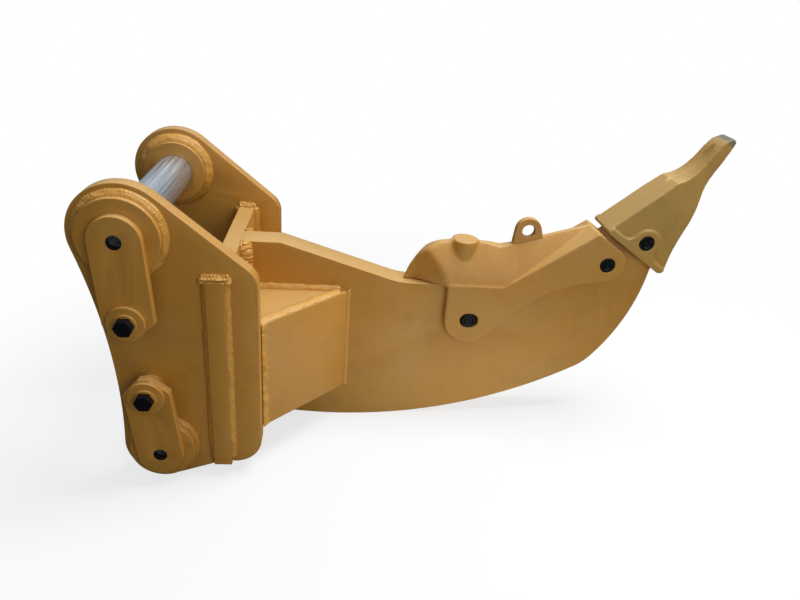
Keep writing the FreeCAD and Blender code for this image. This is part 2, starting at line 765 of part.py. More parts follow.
def toothPlanBody():
    # plan view of the tooth: straight body, waisted neck and square blade end
    half = toothBodyHalfWide
    neckStart = at(100, 0, half - 1)
    corner = at(toothTip + 1, 0, toothTipHalfWide)
    cornerIn, cornerMid, cornerOut = rounded(
        at(0, 0, toothTipHalfWide), corner, at(corner.x, 0), toothTipCornerR)
    waist = [at(a, 0, y) for a, y in ((135, 47), (185, 40), (220, 36), (255, 34.5))]
    neck = [neckStart] + waist + [cornerIn]
    edges = [Part.LineSegment(at(toothRear, 0, half), neckStart), splineThrough(neck),
             Part.Arc(cornerIn, cornerMid, cornerOut), Part.LineSegment(cornerOut, mirrored(cornerOut)),
             Part.Arc(mirrored(cornerOut), mirrored(cornerMid), mirrored(cornerIn)),
             splineThrough([mirrored(point) for point in reversed(neck)]),
             Part.LineSegment(mirrored(neckStart), at(toothRear, 0, -half)),
             Part.LineSegment(at(toothRear, 0, -half), at(toothRear, 0, half))]
    face = Part.Face(Part.Wire([edge.toShape() for edge in edges]))
    body = face.translated(at(0, -2 * toothRearTop)).extrude(at(0, 4 * toothRearTop))
    body.rotate(origin, across, -toothDeg)
    return body.translated(toothPin)


def toothPads():
    # the rim at the mouth and the round lug about the pin, raised on both sides
    blendAlong = toothRimFront + toothLugBlendR
    reach = toothLugR + toothLugBlendR
    rise = math.sqrt(reach ** 2 - blendAlong ** 2)
    highBlend = inTooth(blendAlong, rise)
    lowBlend = inTooth(blendAlong, -rise)
    highRim = inTooth(toothRimFront, rise)
    lowRim = inTooth(toothRimFront, -rise)
    highTouch = onCircle(toothPin, toothLugR, highBlend)
    lowTouch = onCircle(toothPin, toothLugR, lowBlend)
    face = outline(inTooth(toothRear, toothRearTop), [
        (inTooth(toothRear, toothRearBottom),), (inTooth(toothRimFront, toothRearBottom),), (lowRim,),
        (arcBetween(lowBlend, toothLugBlendR, lowRim, lowTouch), lowTouch),
        (inTooth(toothLugR, 0), highTouch),
        (arcBetween(highBlend, toothLugBlendR, highTouch, highRim), highRim),
        (inTooth(toothRimFront, toothRearTop),)])
    return slab(face, -toothPadHalfWide, toothPadHalfWide).common(
        slab(toothSideFace(), -toothPadHalfWide, toothPadHalfWide))


def toothGroove():
    # a long boat-shaped hollow down the middle of the blade's upper face
    stern = inTooth(toothGrooveStart, toothGrooveStartUp)
    bow = inTooth(toothGrooveEnd, toothGrooveEndUp)
    run = (bow - stern).normalize()
    keel = (stern + bow) * 0.5 - leftOf(run) * toothGrooveR
    profile = [Part.Arc(stern, keel, bow).toShape(), Part.LineSegment(bow, stern).toShape()]
    return Part.Face(Part.Wire(profile)).revolve(stern, run, 360).reversed()


def tooth():
    body = slab(toothSideFace(), -toothPadHalfWide, toothPadHalfWide).common(toothPlanBody())
    body = body.fuse(toothPads()).removeSplitter()
    mouth, endLow, endHigh, top = noseOutline(socketGap, socketEndGap)
    outwards = heading(toothDeg) * -retainerOuterR
    lowIn, lowMid, lowOut = rounded(mouth, endLow, endHigh, noseEndR)
    highIn, highMid, highOut = rounded(endLow, endHigh, top, noseEndR)
    socket = slab(outline(mouth + outwards, [
        (mouth,), (lowIn,), (lowMid, lowOut), (highIn,), (highMid, highOut), (top,), (top + outwards,)]),
        -shankY - socketGap, shankY + socketGap)
    bore = rod(toothPin, smallPinR + smallPinGap, -toothPadHalfWide, toothPadHalfWide)
    pocket = retainerPocket(toothPin, shankY + socketGap)
    return body.cut([socket, bore, pocket, toothGroove()])


def pieces():
    flagY, discY, washerY, headY = keeperStack()
    insideProtector = shankY + protectorGap
    insideTooth = shankY + socketGap
    made = {}

    def pair(name, shape):
        made[name + "_right"] = shape
        made[name + "_left"] = leftSide(shape)

    pair("side_plate", sidePlate())
    pair("upper_outer_boss", earBoss(origin, upperBossR, -plateOutY, -bossOutY))
    pair("upper_inner_boss", earBoss(origin, upperInnerBossR, -plateInY, -bossInY))
    pair("lower_outer_boss", earBoss(lowerPin, lowerBossR, -plateOutY, -bossOutY))
    pair("lower_inner_boss", earBoss(lowerPin, lowerBossR, -plateInY, -bossInY))
    pair("gusset_plate", gussetPlate())
    pair("gusset_top_cap", gussetCap(gussetTopZ + capAboveGusset - capThick))
    pair("gusset_bottom_cap", gussetCap(gussetBottomZ - capAboveGusset))
    made["cross_plate"] = crossPlate()
    made["shank"] = shank()
    for name, centre, keeper, lean, halfWide in (
            ("upper", origin, upperKeeper, upperFlagLean, upperFlagHalfWide),
            ("lower", lowerPin, lowerKeeper, 0, lowerFlagHalfWide)):
        made[name + "_pin"] = earPin(centre)
        made[name + "_pin_flag"] = pinFlag(centre, keeper, lean, halfWide)
        made[name + "_keeper_boss"] = keeperRing(keeper, keeperBossR, -bossOutY, -plateOutY)
        made[name + "_keeper_disc"] = keeperRing(keeper, keeperDiscR, discY, flagY)
        made[name + "_keeper_washer"] = keeperRing(keeper, keeperWasherR, washerY, discY)
        made[name + "_keeper_bolt"] = keeperBolt(keeper)
    made["shank_protector"] = protector()
    made["lifting_eye"] = liftingEye()
    made["ripper_tooth"] = tooth()
    for name, pin, insideY in (
            ("protector_rear", rearPin, insideProtector), ("protector_front", frontPin, insideProtector),
            ("tooth", toothPin, insideTooth)):
        made[name + "_pin"] = smallPin(pin)
        made[name + "_retainer"] = retainer(pin, insideY)
    made["upper_boss_welds"] = bossWelds(
        origin, upperBossR, upperInnerBossR, outerBossWeldLeg, innerBossWeldLeg)
    made["lower_boss_welds"] = bossWelds(
        lowerPin, lowerBossR, lowerBossR, lowerBossWeldLeg, lowerBossWeldLeg)
    made["cross_plate_welds"] = crossWelds()
    made["shank_welds"] = shankWelds()
    made["gusset_welds"] = gussetWelds()
    return made


os.makedirs("parts", exist_ok=True)
turn = restTurnDeg()
for name, shape in pieces().items():
    level = shape.copy()
    level.rotate(origin, across, turn)
    level.exportStep("parts/" + name + ".step")
print("pieces written, turned by %.2f degrees" % turn)
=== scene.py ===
import json
import math
import bmesh
import bpy
from mathutils import Matrix, Vector, noise


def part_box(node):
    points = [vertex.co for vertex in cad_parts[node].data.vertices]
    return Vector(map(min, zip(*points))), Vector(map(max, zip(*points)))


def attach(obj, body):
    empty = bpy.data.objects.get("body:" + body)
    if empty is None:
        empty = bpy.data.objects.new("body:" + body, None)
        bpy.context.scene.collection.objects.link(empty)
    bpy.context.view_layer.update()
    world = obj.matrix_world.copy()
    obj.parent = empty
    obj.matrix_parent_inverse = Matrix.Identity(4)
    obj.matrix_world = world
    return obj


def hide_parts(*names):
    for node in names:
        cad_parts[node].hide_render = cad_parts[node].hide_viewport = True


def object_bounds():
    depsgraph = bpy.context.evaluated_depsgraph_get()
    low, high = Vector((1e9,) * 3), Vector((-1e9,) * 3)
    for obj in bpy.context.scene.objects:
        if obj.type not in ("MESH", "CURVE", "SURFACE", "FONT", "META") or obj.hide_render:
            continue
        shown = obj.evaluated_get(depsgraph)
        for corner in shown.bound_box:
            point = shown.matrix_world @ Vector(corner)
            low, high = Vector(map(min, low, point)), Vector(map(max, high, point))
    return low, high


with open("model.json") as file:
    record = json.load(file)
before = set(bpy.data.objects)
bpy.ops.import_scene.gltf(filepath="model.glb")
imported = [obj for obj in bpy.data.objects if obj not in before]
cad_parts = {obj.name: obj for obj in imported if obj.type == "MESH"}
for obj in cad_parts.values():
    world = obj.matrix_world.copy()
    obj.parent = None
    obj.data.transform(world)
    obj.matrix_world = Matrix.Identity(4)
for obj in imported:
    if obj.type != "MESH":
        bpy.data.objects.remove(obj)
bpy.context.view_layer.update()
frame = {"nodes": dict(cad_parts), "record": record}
nodes = frame["nodes"]

# The ripper is drawn in millimetres with its rear plate edges upright and the upper
# pin at zero. It stands on the ground turned by this angle about that pin.
stance = {"tiltDeg": 3.31}
tilt = Matrix.Rotation(math.radians(stance["tiltDeg"]), 4, "Y")


def drawn(x, y, z):
    # a place on the drawing, in metres as the ripper stands
    return tilt @ Vector((x / 1000, y / 1000, z / 1000))


def linearColour(code):
    # sRGB hex to the linear values that shaders take
    channels = [int(code[i:i + 2], 16) / 255 for i in (1, 3, 5)]
    lin = [c / 12.92 if c <= 0.04045 else ((c + 0.055) / 1.055) ** 2.4 for c in channels]
    return (*lin, 1)


def addNode(tree, kind, settings=None, links=None):
    # a string names an attribute or an input of the node, a number is an input's index
    node = tree.nodes.new(kind)
    for key, value in (settings or {}).items():
        if isinstance(key, int) or key in node.inputs:
            node.inputs[key].default_value = value
        else:
            setattr(node, key, value)
    for key, source in (links or {}).items():
        tree.links.new(source, node.inputs[key])
    return node


def newMaterial(name):
    material = bpy.data.materials.new(name)
    material.use_nodes = True
    tree = material.node_tree
    tree.nodes.clear()
    return material, tree


# Alkyd machine enamel sprayed over rolled plate: a fine orange peel, a little dust
# that dulls the gloss in patches, and a colour that varies softly.
plateEnamel = {
    "colour": "#c28a35",
    "dusty": "#c19048",
    "thin": "#a26f28",
    # painted highlight: the paler colour that faces turning up are painted
    "paintedTopHighlight": "#dbbb7c",
    "peelMm": 4.0,
    "dustMm": 170.0,
    "runMm": 55.0,
    "fleckMm": 6.25,
    "peelDepthMm": 0.2,
    "paintedTopHighlightShare": 0.42,
    "roughness": 0.4,
    "dustRoughness": 0.16,
    "coat": 0.12,
    "coatRoughness": 0.25,
}


def enamelOver(name, paint, grainMm, grainDepthMm, fleckShare=0.0, cutLines=None, wear=None):
    # the enamel with the relief of what lies under it
    material, tree = newMaterial(name)
    place = addNode(tree, "ShaderNodeTexCoord").outputs["Object"]
    dust = addNode(tree, "ShaderNodeTexNoise",
                   {"Scale": 1000 / paint["dustMm"], "Detail": 5.0, "Roughness": 0.6}, {"Vector": place})
    dustMask = addNode(tree, "ShaderNodeMapRange", {"From Min": 0.45, "From Max": 0.75},
                       {"Value": dust.outputs["Fac"]})
    fresh = addNode(tree, "ShaderNodeMix",
                    {"data_type": "RGBA", 6: linearColour(paint["colour"]), 7: linearColour(paint["dusty"])},
                    {0: dustMask.outputs["Result"]})
    # thinner paint lets the darker primer work through in cloudy patches
    run = addNode(tree, "ShaderNodeTexNoise",
                  {"Scale": 1000 / paint["runMm"], "Detail": 4.0, "Roughness": 0.7}, {"Vector": place})
    runMask = addNode(tree, "ShaderNodeMapRange", {"From Min": 0.5, "From Max": 0.85, "To Max": 0.45},
                      {"Value": run.outputs["Fac"]})
    colour = addNode(tree, "ShaderNodeMix", {"data_type": "RGBA", 7: linearColour(paint["thin"])},
                     {0: runMask.outputs["Result"], 6: fresh.outputs[2]})
    peel = addNode(tree, "ShaderNodeTexNoise", {"Scale": 1000 / paint["peelMm"], "Detail": 2.0},
                   {"Vector": place})
    if fleckShare:
        # pinholes of the sand mould stay darker
        fleck = addNode(tree, "ShaderNodeTexNoise",
                        {"Scale": 1000 / paint["fleckMm"], "Detail": 3.0, "Roughness": 0.75},
                        {"Vector": place})
        fleckMask = addNode(tree, "ShaderNodeMapRange",
                            {"From Min": 0.62, "From Max": 0.7, "To Max": fleckShare},
                            {"Value": fleck.outputs["Fac"]})
        colour = addNode(tree, "ShaderNodeMix", {"data_type": "RGBA", 7: linearColour(paint["thin"])},
                         {0: fleckMask.outputs["Result"], 6: colour.outputs[2]})
    # painted highlight: faces that turn up are painted paler, standing in for the sheen of light from above
    facing = addNode(tree, "ShaderNodeSeparateXYZ", {},
                     {0: addNode(tree, "ShaderNodeNewGeometry").outputs["Normal"]})
    paintedTopHighlightMask = addNode(tree, "ShaderNodeMapRange", {"From Min": 0.55, "From Max": 1.0,
                                                           "To Max": paint["paintedTopHighlightShare"]},
                          {"Value": facing.outputs["Z"]})
    colour = addNode(tree, "ShaderNodeMix", {"data_type": "RGBA", 7: linearColour(paint["paintedTopHighlight"])},
                     {0: paintedTopHighlightMask.outputs["Result"], 6: colour.outputs[2]})
    if wear:
        # the paint is scuffed pale where a tooth's tip has stood on the ground
        reach = addNode(tree, "ShaderNodeVectorMath", {"operation": "DOT_PRODUCT", 1: wear["axis"]},
                        {0: place})
        wornMask = addNode(tree, "ShaderNodeMapRange",
                           {"From Min": wear["fromM"], "From Max": wear["toM"], "To Max": wear["share"]},
                           {"Value": reach.outputs["Value"]})
        colour = addNode(tree, "ShaderNodeMix", {"data_type": "RGBA", 7: linearColour(wear["colour"])},
                         {0: wornMask.outputs["Result"], 6: colour.outputs[2]})
    rough = addNode(tree, "ShaderNodeMapRange",
                    {"To Min": paint["roughness"], "To Max": paint["roughness"] + paint["dustRoughness"]},
                    {"Value": dust.outputs["Fac"]})
    grain = addNode(tree, "ShaderNodeTexNoise", {"Scale": 1000 / grainMm, "Detail": 4.0, "Roughness": 0.65},
                    {"Vector": place})
    skin = addNode(tree, "ShaderNodeBump", {"Strength": 0.12, "Distance": paint["peelDepthMm"] / 1000},
                   {"Height": peel.outputs["Fac"]})
    relief = addNode(tree, "ShaderNodeBump", {"Strength": 0.8, "Distance": grainDepthMm / 1000},
                     {"Height": grain.outputs["Fac"], "Normal": skin.outputs["Normal"]})
    if cutLines:
        # drag lines of the cutting flame run across the plate's thickness
        lines = addNode(tree, "ShaderNodeTexWave",
                        {"Scale": cutLines["scale"], "Distortion": 5.0, "Detail": 3.0,
                         "Detail Scale": 1.2, "Detail Roughness": 0.7}, {"Vector": place})
        rougher = addNode(tree, "ShaderNodeMapRange", {"From Min": 0.45, "From Max": 0.65, "To Min": 0.15},
                          {"Value": dust.outputs["Fac"]})
        height = addNode(tree, "ShaderNodeMath", {"operation": "MULTIPLY"},
                         {0: lines.outputs["Fac"], 1: rougher.outputs["Result"]})
        relief = addNode(tree, "ShaderNodeBump", {"Strength": 0.8, "Distance": cutLines["depthMm"] / 1000},
                         {"Height": height.outputs["Value"], "Normal": relief.outputs["Normal"]})
    shader = addNode(tree, "ShaderNodeBsdfPrincipled",
                     {"Coat Weight": paint["coat"], "Coat Roughness": paint["coatRoughness"]},
                     {"Base Color": colour.outputs[2], "Roughness": rough.outputs["Result"],
                      "Normal": relief.outputs["Normal"]})
    addNode(tree, "ShaderNodeOutputMaterial", {}, {"Surface": shader.outputs[0]})
    return material


def bareMetal(name, colour, roughness, metallic, grainMm, grainDepthMm, stretch=(1.0, 1.0, 1.0)):
    # ground or rolled metal, its grain drawn out along the way it was worked
    material, tree = newMaterial(name)
    place = addNode(tree, "ShaderNodeTexCoord").outputs["Object"]
    drawnOut = addNode(tree, "ShaderNodeMapping", {"Scale": stretch}, {"Vector": place})
    grain = addNode(tree, "ShaderNodeTexNoise", {"Scale": 1000 / grainMm, "Detail": 5.0, "Roughness": 0.7},
                    {"Vector": drawnOut.outputs["Vector"]})
    rough = addNode(tree, "ShaderNodeMapRange",
                    {"From Min": 0.3, "From Max": 0.7, "To Min": roughness * 0.6, "To Max": roughness * 1.5},
                    {"Value": grain.outputs["Fac"]})
    shade = addNode(tree, "ShaderNodeMapRange", {"From Min": 0.3, "From Max": 0.7, "To Min": 0.7},
                    {"Value": grain.outputs["Fac"]})
    tint = addNode(tree, "ShaderNodeMix", {"data_type": "RGBA", "blend_type": "MULTIPLY", 0: 1.0,
                                            6: linearColour(colour)}, {7: shade.outputs["Result"]})
    relief = addNode(tree, "ShaderNodeBump", {"Strength": 0.5, "Distance": grainDepthMm / 1000},
                     {"Height": grain.outputs["Fac"]})
    shader = addNode(tree, "ShaderNodeBsdfPrincipled", {"Metallic": metallic},
                     {"Base Color": tint.outputs[2], "Roughness": rough.outputs["Result"],
                      "Normal": relief.outputs["Normal"]})
    addNode(tree, "ShaderNodeOutputMaterial", {}, {"Surface": shader.outputs[0]})
    return material


# The welds are painted a lighter yellow, a painted sheen for the gloss of their thicker paint, and the tooth
# has stood longest in the dirt.
weldEnamel = dict(plateEnamel, colour="#cc9337", dusty="#cc9843", paintedTopHighlight="#dcae5a")
toothPaint = dict(plateEnamel, colour="#bb9144", dusty="#b39356", thin="#957236", paintedTopHighlight="#c3a76e")
finishes = {
    # broad, faint unevenness of rolled plate under the paint
    "painted_plate": enamelOver("enamelledPlate", plateEnamel, grainMm=30.0, grainDepthMm=0.3),
    # fine spatter that catches the light on the beads
    "painted_weld": enamelOver("enamelledWeld", weldEnamel, grainMm=5.0, grainDepthMm=0.4),
    # sand grain with darker pinholes
    "painted_casting": enamelOver("enamelledCasting", plateEnamel, grainMm=4.0, grainDepthMm=1.1,
                                  fleckShare=0.6),
    # bright steel with fine scratches along the pin, tinted blue-grey as a painted reflection of the pale
    # sky
    "ground_pin_steel": bareMetal("groundSteel", "#dbe3ea", roughness=0.33, metallic=0.88, grainMm=5.0,
                                  grainDepthMm=0.02, stretch=(1.0, 0.02, 1.0)),
    # nearly black bolts and small pins with a dull glint
    "black_steel": bareMetal("blackOxideSteel", "#1d1f24", roughness=0.33, metallic=0.8, grainMm=3.0,
                             grainDepthMm=0.1),
    # grey clips, hidden in their pockets
    "spring_steel": bareMetal("springSteel", "#5c5e62", roughness=0.4, metallic=1.0, grainMm=3.0,
                              grainDepthMm=0.05),
}
flameDrag = {"scale": 48.0, "depthMm": 0.9}
flameCut = enamelOver("enamelledFlameCut", plateEnamel, grainMm=12.0, grainDepthMm=0.5, cutLines=flameDrag)
# The tooth is worn at its tip, at these distances from its pin along its axis.
toothTip = {"pinX": 1181.8, "pinZ": -43.0, "riseDeg": 56.0, "fromMm": 281.0, "toMm": 296.0,
            "share": 0.95, "colour": "#6b6656"}


def tipWear():
    rise = math.radians(toothTip["riseDeg"])
    axis = tilt @ Vector((math.cos(rise), 0, math.sin(rise)))
    pin = axis.dot(drawn(toothTip["pinX"], 0, toothTip["pinZ"]))
    return {"axis": axis[:], "fromM": pin + toothTip["fromMm"] / 1000, "toM": pin + toothTip["toMm"] / 1000,
            "share": toothTip["share"], "colour": toothTip["colour"]}


toothEnamel = enamelOver("enamelledToothCasting", toothPaint, grainMm=4.0, grainDepthMm=1.1,
                         fleckShare=0.6, wear=tipWear())
# The threads of the pull holes are painted near black, a painted shade for the dark deep inside them.
shadedBore = bareMetal("shadedBore", "#2a2219", roughness=0.55, metallic=0.2, grainMm=3.0, grainDepthMm=0.2)
slotOf = {subpart["node"]: subpart["material_slot"] for subpart in frame["record"]["subparts"]}
for node, slotName in slotOf.items():
    mesh = nodes[node].data
    mesh.materials.clear()
    mesh.materials.append(finishes[slotName])
print("finishes made")


def newPiece(name, bm, slotName, replaced):
    # a finished piece at the origin, with its place in its mesh
    mesh = bpy.data.meshes.new(name)
    bm.to_mesh(mesh)
    bm.free()
    mesh.shade_smooth()
    piece = bpy.data.objects.new(name, mesh)
    bpy.context.scene.collection.objects.link(piece)
    mesh.materials.append(finishes[slotName])
    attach(piece, "root")
    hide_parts(*replaced)
    return piece


def mergedCopy(node):
    bm = bmesh.new()
    bm.from_mesh(nodes[node].data)
    bmesh.ops.remove_doubles(bm, verts=bm.verts, dist=0.00001)
    return bm


def softenEdges(piece, edgeMm, segments):
    bevel = piece.modifiers.new("Bevel", "BEVEL")
    bevel.width = edgeMm / 1000
    bevel.segments = segments
    bevel.limit_method = "ANGLE"
    bevel.angle_limit = math.radians(30)
    bevel.harden_normals = True


castings = {
    "shank_protector": {"voxelMm": 2.4, "smoothings": 2},
    "ripper_tooth": {"voxelMm": 1.9, "smoothings": 2},
    "lifting_eye": {"voxelMm": 1.5, "smoothings": 2},
}
# The brow of the protector is rounded more, inside this box of the drawing.
brow = {"node": "shank_protector", "low": (590, -57, -176), "high": (716, 57, -60), "smoothings": 45}


def smoothVerts(verts, bm, times):
    for _ in range(times):
        bmesh.ops.smooth_vert(bm, verts=verts, factor=0.5, use_axis_x=True, use_axis_y=True,
                              use_axis_z=True)


def within(point, low, high):
    flat = tilt.inverted() @ point * 1000
    return all(low[i] < flat[i] < high[i] for i in range(3))


def castCopy(node, casting):
    # the same form with the soft edges that come from a sand mould
    bm = mergedCopy(node)
    rough = bpy.data.meshes.new(node + "Rough")
    bm.to_mesh(rough)
    bm.free()
    source = bpy.data.objects.new(node + "Rough", rough)
    bpy.context.scene.collection.objects.link(source)
    remesh = source.modifiers.new("Remesh", "REMESH")
    remesh.mode = "VOXEL"
    remesh.voxel_size = casting["voxelMm"] / 1000
    bpy.context.view_layer.update()
    shape = bpy.data.meshes.new_from_object(source.evaluated_get(bpy.context.evaluated_depsgraph_get()))
    bpy.data.objects.remove(source)
    bm = bmesh.new()
    bm.from_mesh(shape)
    bpy.data.meshes.remove(shape)
    smoothVerts(bm.verts, bm, casting["smoothings"])
    if node == brow["node"]:
        inside = [vert for vert in bm.verts if within(vert.co, brow["low"], brow["high"])]
        smoothVerts(inside, bm, brow["smoothings"])
    piece = newPiece(node + "_cast", bm, slotOf[node], [node])
    if node == "ripper_tooth":
        piece.data.materials[0] = toothEnamel


for node, casting in castings.items():
    castCopy(node, casting)
print("castings made")

# Plate edges are dressed with a grinder before painting, bosses are turned.
dressed = {
    "side_plate_right": 2.2, "side_plate_left": 2.2, "shank": 2.0, "cross_plate": 1.2,
    "gusset_plate_right": 1.2, "gusset_plate_left": 1.2, "gusset_top_cap_right": 1.0,
    "gusset_top_cap_left": 1.0, "gusset_bottom_cap_right": 1.0, "gusset_bottom_cap_left": 1.0,
    "upper_outer_boss_right": 1.2, "upper_outer_boss_left": 1.2, "upper_inner_boss_right": 1.2,
    "upper_inner_boss_left": 1.2, "lower_outer_boss_right": 1.2, "lower_outer_boss_left": 1.2,
    "upper_keeper_disc": 1.2, "lower_keeper_disc": 1.2, "upper_keeper_washer": 0.8,
    "lower_keeper_washer": 0.8, "upper_pin_flag": 0.8, "lower_pin_flag": 0.8,
    "upper_keeper_bolt": 1.1, "lower_keeper_bolt": 1.1,
}


def pullHoleWalls(node, faces):
    mountName = node.replace("flag", "pull_thread")
    hole = next(mount for mount in frame["record"]["mounts"] if mount["name"] == mountName)
    axis = hole["pos_m"]
    reach = hole["dims"]["r_mm"] / 1000 + 0.001
    return [face.index for face in faces if abs(face.normal[1]) < 0.9
            and math.hypot(face.center[0] - axis[0], face.center[2] - axis[2]) < reach]


def dressedCopy(node, edgeMm):
    # the same plate with its sharp edges taken off
    bm = mergedCopy(node)
    bmesh.ops.dissolve_limit(bm, angle_limit=math.radians(1.0), verts=bm.verts, edges=bm.edges)
    bmesh.ops.recalc_face_normals(bm, faces=bm.faces)
    piece = newPiece(node + "_dressed", bm, slotOf[node], [node])
    faces = piece.data.polygons
    second = []
    if node.startswith(("shank", "side_plate")):
        piece.data.materials.append(flameCut)
        second = [face.index for face in faces if abs(face.normal[1]) < 0.5]
    if node.endswith("pin_flag"):
        # painted shade: the walls of the pull hole take the near-black bore finish
        piece.data.materials.append(shadedBore)
        second = pullHoleWalls(node, faces)
    for index in second:
        faces[index].material_index = 1
    softenEdges(piece, edgeMm, 3)


for node, edgeMm in dressed.items():
    dressedCopy(node, edgeMm)
print("plate edges dressed")

# How each kind of bead is laid: passes side by side, the length and height of its
# ripples, how far it wanders and how far its face swells past a flat fillet. Each call
# that lays a bead ends with a seed, which only varies its unevenness.
beads = {
    "ring": {"passes": 2, "rippleMm": 6.5, "highMm": 0.9, "wanderMm": 1.9, "bulge": 0.12},
    "rope": {"passes": 2, "rippleMm": 5.0, "highMm": 1.3, "wanderMm": 2.0, "bulge": 0.12},
    "blob": {"passes": 2, "rippleMm": 7.5, "highMm": 2.3, "wanderMm": 4.0, "bulge": 0.16},
    "weave": {"passes": 1, "rippleMm": 12.5, "highMm": 4.6, "wanderMm": 3.0, "bulge": 0.2},
    "plain": {"passes": 1, "rippleMm": 4.2, "highMm": 1.1, "wanderMm": 2.2, "bulge": 0.16},
    "seam": {"passes": 1, "rippleMm": 4.6, "highMm": 1.0, "wanderMm": 1.4, "bulge": 0.3},
}
beadMesh = {"stepMm": 1.25, "points": 10, "rootMm": 0.5}
# The unevenness repeats over about these lengths, and a gutter runs between two passes.
beadRough = {"driftMm": 23, "lumpMm": 7, "wanderMm": 21, "gutterMm": 1.2}
# A bead's end is rounded over this share of its leg, and sinks by this share of its section.
beadEnd = {"legShare": 0.6, "sinkShare": 0.75}


def beadSection(bm, root, sideA, sideB, legA, legB, look):
    # a fillet's section: its root, then a swollen face from one plate to the other
    points = [root - (sideA + sideB) * (beadMesh["rootMm"] / 1000)]
    for i in range(beadMesh["points"] + 1):
        share = i / beadMesh["points"]
        swell = look["bulge"] * math.sin(math.pi * share)
        points.append(root + sideA * legA * (1 - share + swell) + sideB * legB * (share + swell))
    verts = [bm.verts.new(point) for point in points]
    return bm.faces.new(verts)


def beadHeight(along, share, look, seed):
    # how far the face stands out at a distance along the bead, share across it from 0 to 1
    lane = min(look["passes"] - 1, int(share * look["passes"]))
    inLane = (share * look["passes"] - lane) * 2 - 1
    drift = 0.6 * noise.noise(Vector((along / beadRough["driftMm"], seed + lane * 5.1, 1)))
    phase = along / look["rippleMm"] + 0.5 * inLane * inLane + drift + lane * 0.4
    crest = (1 - phase % 1.0) ** 1.6
    middle = 1 - inLane ** 4
    lump = noise.noise(Vector((along / beadRough["lumpMm"], share * 2.2, seed * 1.9 + 40)))
    wander = noise.noise(Vector((along / beadRough["wanderMm"], seed * 3.7, share * 1.5)))
    between = look["passes"] > 1 and 0.15 < share < 0.85
    gutter = -beadRough["gutterMm"] * inLane ** 6 if between else 0.0
    return (look["highMm"] * (crest - 0.4) * middle + 0.6 * look["highMm"] * lump
            + look["wanderMm"] * wander + gutter) / 1000


def ringBead(bm, centre, radius, height, leg, outwards, look, seed):
    # a fillet round a boss: centre and height in metres, outwards the way along Y
    made = bmesh.new()
    sideA = Vector((1, 0, 0))
    sideB = Vector((0, outwards, 0))
    root = Vector((centre.x + radius, height, centre.z))
    made.faces.remove(beadSection(made, root, sideA, sideB, leg, leg, look))
    steps = int(2 * math.pi * (radius + leg) * 1000 / beadMesh["stepMm"])
    bmesh.ops.spin(made, geom=made.verts[:] + made.edges[:], cent=centre, axis=(0, 1, 0),
                   angle=2 * math.pi, steps=steps, use_merge=True)
    for vert in made.verts:
        arm = Vector((vert.co.x - centre.x, 0, vert.co.z - centre.z))
        partA = (arm.length - radius) / leg
        partB = (vert.co.y - height) * outwards / leg
        if partA + partB < 0.5:
            continue
        along = math.atan2(arm.z, arm.x) * (radius + leg / 2) * 1000
        push = beadHeight(along, (partB - partA + 1) / 2, look, seed)
        vert.co += (arm.normalized() * max(partA, 0) + sideB * max(partB, 0)).normalized() * push
    append(bm, made)


def runBead(bm, start, end, sideA, sideB, legA, legB, look, seed):
    # a fillet along a straight corner, with rounded ends
    made = bmesh.new()
    length = (end - start).length
    run = (end - start).normalized()
    face = beadSection(made, start, sideA, sideB, legA, legB, look)
    steps = max(2, int(length * 1000 / beadMesh["stepMm"]))
    bmesh.ops.spin(made, geom=made.verts[:] + made.edges[:] + [face], cent=start, axis=run, angle=0,
                   dvec=run * (length / steps), steps=steps)
    for vert in made.verts:
        offset = vert.co - start
        along = offset.dot(run)
        flat = offset - run * along
        # the plates may meet at any angle, so the parts are those of slanted axes
        slant = sideA.dot(sideB)
        partA = (flat.dot(sideA) - slant * flat.dot(sideB)) / (1 - slant * slant) / legA
        partB = (flat.dot(sideB) - slant * flat.dot(sideA)) / (1 - slant * slant) / legB
        if partA + partB < 0.5:
            continue
        nearEnd = min(along, length - along) / (beadEnd["legShare"] * legA)
        taper = math.sqrt(max(0.0, 1 - (1 - min(nearEnd, 1.0)) ** 2))
        push = beadHeight(along * 1000, (partB - partA + 1) / 2, look, seed)
        way = sideA * legA * max(partA, 0) + sideB * legB * max(partB, 0)
        vert.co += way.normalized() * push * taper
        vert.co -= flat * (1 - taper) * beadEnd["sinkShare"]
    bmesh.ops.holes_fill(made, edges=made.edges)
    append(bm, made)


def append(bm, made):
    bmesh.ops.remove_doubles(made, verts=made.verts, dist=0.00005)
    bmesh.ops.recalc_face_normals(made, faces=made.faces)
    mesh = bpy.data.meshes.new("part")
    made.to_mesh(mesh)
    made.free()
    bm.from_mesh(mesh)
    bpy.data.meshes.remove(mesh)


# Legs of the fillets round the bosses, in millimetres.
earWelds = {"upper": {"outer": 13.5, "inner": 18.0}, "lower": {"outer": 9.5, "inner": 9.5}}
for name, legs in earWelds.items():
    bm = bmesh.new()
    for side, way in (("right", -1), ("left", 1)):
        for seed, (where, leg) in enumerate(legs.items()):
            low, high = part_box(name + "_" + where + "_boss_" + side)
            centre = Vector(((low[0] + high[0]) / 2, 0, (low[2] + high[2]) / 2))
            towards = way if where == "outer" else -way
            faceY = low[1] if towards > 0 else high[1]
            ringBead(bm, centre, (high[0] - low[0]) / 2, faceY, leg / 1000, towards, beads["ring"],
                     seed * 2 + way)
    newPiece(name + "_boss_beads", bm, "painted_weld", [name + "_boss_welds"])
print("ear welds made")

forward = tilt @ Vector((-1, 0, 0))
back = tilt @ Vector((1, 0, 0))
up = tilt @ Vector((0, 0, 1))
# Each cap closes the top of a slot: how far it is lifted, and how far it reaches past the plate.
cross = {"rear": 201.0, "front": 161.0, "top": -91.0, "low": -550.0, "plateOut": 260.0, "plateIn": 225.0,
         "leg": 11.5, "innerLeg": 13.0, "topLeg": 11.0, "pastTop": 8.0, "topReach": 4.0,
         "caps": ({"lift": -3, "reach": 15, "seed": 5}, {"lift": 5, "reach": 11, "seed": 8})}


